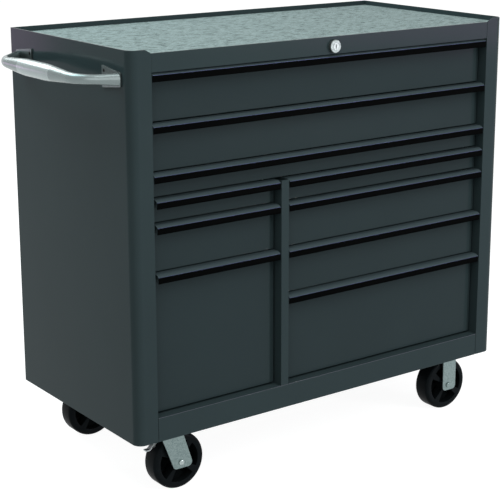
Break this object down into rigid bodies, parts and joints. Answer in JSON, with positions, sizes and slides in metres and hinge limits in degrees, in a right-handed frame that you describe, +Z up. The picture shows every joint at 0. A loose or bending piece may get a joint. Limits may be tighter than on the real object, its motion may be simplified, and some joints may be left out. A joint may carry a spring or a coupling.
{
  "type": "tool cabinet",
  "caption": "Rolling steel tool cabinet with full-width and split drawers on telescopic slides, a key lock, a side push handle, a work mat and a pair of swivel casters.",
  "frame": {"origin": "on the floor, under the middle of the overall box with the side handle and the lock included", "axes": "+X to the right seen from the front, towards the rigid casters; -Y out of the drawer fronts; +Z up"},
  "size_m": [1.107, 0.5096, 0.967],
  "materials": {
    "body_paint": "glossy dark slate grey powder coat",
    "drawer_paint": "glossy dark slate grey powder coat",
    "pull_trim": "grey pull with a glossy black strip in its face",
    "work_mat": "light grey-green mottled mat",
    "slide_zinc": "bright zinc-plated steel",
    "lock_chrome": "bright chrome",
    "zinc_steel": "zinc-plated steel",
    "handle_metal": "polished",
    "bracket_metal": "satin",
    "black_screws": "black oxide",
    "caster_zinc": "dull zinc plate",
    "wheel_plastic": "moulded black"
  },
  "bodies": {
    "cabinet": {"left_side_panel": "body_paint", "right_side_panel": "body_paint", "back_panel": "body_paint", "top_pan": "body_paint", "top_mat": "work_mat", "header_rail": "body_paint", "base_rail": "body_paint", "floor_pan": "body_paint", "centre_divider": "body_paint", "slide_uprights": "body_paint", "cabinet_slides": "slide_zinc", "lock_housing": "lock_chrome", "side_handle": "handle_metal", "handle_brackets": "bracket_metal", "handle_screws": "black_screws", "rigid_forks": "caster_zinc", "swivel_plates": "caster_zinc", "caster_bolts": "zinc_steel"},
    "full_drawer_1": {"full_drawer_1_box": "drawer_paint", "full_drawer_1_pull": "pull_trim"},
    "full_drawer_1_slides": {"full_drawer_1_slides": "slide_zinc"},
    "full_drawer_2": {"full_drawer_2_box": "drawer_paint", "full_drawer_2_pull": "pull_trim"},
    "full_drawer_2_slides": {"full_drawer_2_slides": "slide_zinc"},
    "full_drawer_3": {"full_drawer_3_box": "drawer_paint", "full_drawer_3_pull": "pull_trim"},
    "full_drawer_3_slides": {"full_drawer_3_slides": "slide_zinc"},
    "left_drawer_1": {"left_drawer_1_box": "drawer_paint", "left_drawer_1_pull": "pull_trim"},
    "left_drawer_1_slides": {"left_drawer_1_slides": "slide_zinc"},
    "left_drawer_2": {"left_drawer_2_box": "drawer_paint", "left_drawer_2_pull": "pull_trim"},
    "left_drawer_2_slides": {"left_drawer_2_slides": "slide_zinc"},
    "left_drawer_3": {"left_drawer_3_box": "drawer_paint", "left_drawer_3_pull": "pull_trim"},
    "left_drawer_3_slides": {"left_drawer_3_slides": "slide_zinc"},
    "right_drawer_1": {"right_drawer_1_box": "drawer_paint", "right_drawer_1_pull": "pull_trim"},
    "right_drawer_1_slides": {"right_drawer_1_slides": "slide_zinc"},
    "right_drawer_2": {"right_drawer_2_box": "drawer_paint", "right_drawer_2_pull": "pull_trim"},
    "right_drawer_2_slides": {"right_drawer_2_slides": "slide_zinc"},
    "right_drawer_3": {"right_drawer_3_box": "drawer_paint", "right_drawer_3_pull": "pull_trim"},
    "right_drawer_3_slides": {"right_drawer_3_slides": "slide_zinc"},
    "right_drawer_4": {"right_drawer_4_box": "drawer_paint", "right_drawer_4_pull": "pull_trim"},
    "right_drawer_4_slides": {"right_drawer_4_slides": "slide_zinc"},
    "lock_plug": {"lock_plug": "lock_chrome"},
    "lock_frame": {"lock_frame": "zinc_steel"},
    "swivel_caster_front": {"swivel_fork_front": "caster_zinc", "swivel_pins_front": "zinc_steel"},
    "wheel_front_left": {"wheel_front_left": "wheel_plastic"},
    "wheel_front_right": {"wheel_front_right": "wheel_plastic"},
    "brake_lever_front": {"brake_lever_front": "caster_zinc"},
    "swivel_caster_rear": {"swivel_fork_rear": "caster_zinc", "swivel_pins_rear": "zinc_steel"},
    "wheel_rear_left": {"wheel_rear_left": "wheel_plastic"},
    "wheel_rear_right": {"wheel_rear_right": "wheel_plastic"},
    "brake_lever_rear": {"brake_lever_rear": "caster_zinc"}
  },
  "joints": [
    {"name": "full_drawer_1_open", "type": "slide", "parent": "cabinet", "child": "full_drawer_1", "axis": [0, -1, 0], "range_m": [0, 0.42]},
    {"name": "full_drawer_1_slides_run", "type": "slide", "parent": "cabinet", "child": "full_drawer_1_slides", "axis": [0, -1, 0], "range_m": [0, 0.21]},
    {"name": "full_drawer_2_open", "type": "slide", "parent": "cabinet", "child": "full_drawer_2", "axis": [0, -1, 0], "range_m": [0, 0.42]},
    {"name": "full_drawer_2_slides_run", "type": "slide", "parent": "cabinet", "child": "full_drawer_2_slides", "axis": [0, -1, 0], "range_m": [0, 0.21]},
    {"name": "full_drawer_3_open", "type": "slide", "parent": "cabinet", "child": "full_drawer_3", "axis": [0, -1, 0], "range_m": [0, 0.42]},
    {"name": "full_drawer_3_slides_run", "type": "slide", "parent": "cabinet", "child": "full_drawer_3_slides", "axis": [0, -1, 0], "range_m": [0, 0.21]},
    {"name": "left_drawer_1_open", "type": "slide", "parent": "cabinet", "child": "left_drawer_1", "axis": [0, -1, 0], "range_m": [0, 0.42]},
    {"name": "left_drawer_1_slides_run", "type": "slide", "parent": "cabinet", "child": "left_drawer_1_slides", "axis": [0, -1, 0], "range_m": [0, 0.21]},
    {"name": "left_drawer_2_open", "type": "slide", "parent": "cabinet", "child": "left_drawer_2", "axis": [0, -1, 0], "range_m": [0, 0.42]},
    {"name": "left_drawer_2_slides_run", "type": "slide", "parent": "cabinet", "child": "left_drawer_2_slides", "axis": [0, -1, 0], "range_m": [0, 0.21]},
    {"name": "left_drawer_3_open", "type": "slide", "parent": "cabinet", "child": "left_drawer_3", "axis": [0, -1, 0], "range_m": [0, 0.42]},
    {"name": "left_drawer_3_slides_run", "type": "slide", "parent": "cabinet", "child": "left_drawer_3_slides", "axis": [0, -1, 0], "range_m": [0, 0.21]},
    {"name": "right_drawer_1_open", "type": "slide", "parent": "cabinet", "child": "right_drawer_1", "axis": [0, -1, 0], "range_m": [0, 0.42]},
    {"name": "right_drawer_1_slides_run", "type": "slide", "parent": "cabinet", "child": "right_drawer_1_slides", "axis": [0, -1, 0], "range_m": [0, 0.21]},
    {"name": "right_drawer_2_open", "type": "slide", "parent": "cabinet", "child": "right_drawer_2", "axis": [0, -1, 0], "range_m": [0, 0.42]},
    {"name": "right_drawer_2_slides_run", "type": "slide", "parent": "cabinet", "child": "right_drawer_2_slides", "axis": [0, -1, 0], "range_m": [0, 0.21]},
    {"name": "right_drawer_3_open", "type": "slide", "parent": "cabinet", "child": "right_drawer_3", "axis": [0, -1, 0], "range_m": [0, 0.42]},
    {"name": "right_drawer_3_slides_run", "type": "slide", "parent": "cabinet", "child": "right_drawer_3_slides", "axis": [0, -1, 0], "range_m": [0, 0.21]},
    {"name": "right_drawer_4_open", "type": "slide", "parent": "cabinet", "child": "right_drawer_4", "axis": [0, -1, 0], "range_m": [0, 0.42]},
    {"name": "right_drawer_4_slides_run", "type": "slide", "parent": "cabinet", "child": "right_drawer_4_slides", "axis": [0, -1, 0], "range_m": [0, 0.21]},
    {"name": "lock_turn", "type": "hinge", "parent": "cabinet", "child": "lock_plug", "pos_m": [0.0415, -0.2462, 0.938], "axis": [0, 1, 0], "range_deg": [0, 90]},
    {"name": "lock_frame_drop", "type": "slide", "parent": "cabinet", "child": "lock_frame", "axis": [0, 0, -1], "range_m": [0, 0.012]},
    {"name": "swivel_front", "type": "hinge", "parent": "cabinet", "child": "swivel_caster_front", "pos_m": [-0.3709, -0.1812, 0.14], "axis": [0, 0, 1], "continuous": true},
    {"name": "roll_front_left", "type": "hinge", "parent": "swivel_caster_front", "child": "wheel_front_left", "pos_m": [-0.3409, -0.1812, 0.0635], "axis": [0, 1, 0], "continuous": true},
    {"name": "roll_front_right", "type": "hinge", "parent": "cabinet", "child": "wheel_front_right", "pos_m": [0.4469, -0.1812, 0.0635], "axis": [0, 1, 0], "continuous": true},
    {"name": "brake_front", "type": "hinge", "parent": "swivel_caster_front", "child": "brake_lever_front", "pos_m": [-0.3795, -0.1812, 0.128], "axis": [0, -1, 0], "range_deg": [0, 5.5]},
    {"name": "swivel_rear", "type": "hinge", "parent": "cabinet", "child": "swivel_caster_rear", "pos_m": [-0.3709, 0.1898, 0.14], "axis": [0, 0, 1], "continuous": true},
    {"name": "roll_rear_left", "type": "hinge", "parent": "swivel_caster_rear", "child": "wheel_rear_left", "pos_m": [-0.3409, 0.1898, 0.0635], "axis": [0, 1, 0], "continuous": true},
    {"name": "roll_rear_right", "type": "hinge", "parent": "cabinet", "child": "wheel_rear_right", "pos_m": [0.4469, 0.1898, 0.0635], "axis": [0, 1, 0], "continuous": true},
    {"name": "brake_rear", "type": "hinge", "parent": "swivel_caster_rear", "child": "brake_lever_rear", "pos_m": [-0.3795, 0.1898, 0.128], "axis": [0, -1, 0], "range_deg": [0, 5.5]}
  ],
  "couplings": [
    {"joint": "full_drawer_1_slides_run", "follows": "full_drawer_1_open", "ratio": 0.5},
    {"joint": "full_drawer_2_slides_run", "follows": "full_drawer_2_open", "ratio": 0.5},
    {"joint": "full_drawer_3_slides_run", "follows": "full_drawer_3_open", "ratio": 0.5},
    {"joint": "left_drawer_1_slides_run", "follows": "left_drawer_1_open", "ratio": 0.5},
    {"joint": "left_drawer_2_slides_run", "follows": "left_drawer_2_open", "ratio": 0.5},
    {"joint": "left_drawer_3_slides_run", "follows": "left_drawer_3_open", "ratio": 0.5},
    {"joint": "right_drawer_1_slides_run", "follows": "right_drawer_1_open", "ratio": 0.5},
    {"joint": "right_drawer_2_slides_run", "follows": "right_drawer_2_open", "ratio": 0.5},
    {"joint": "right_drawer_3_slides_run", "follows": "right_drawer_3_open", "ratio": 0.5},
    {"joint": "right_drawer_4_slides_run", "follows": "right_drawer_4_open", "ratio": 0.5},
    {"joint": "lock_turn", "follows": "lock_frame_drop", "rad_per_m": 130.9}
  ]
}
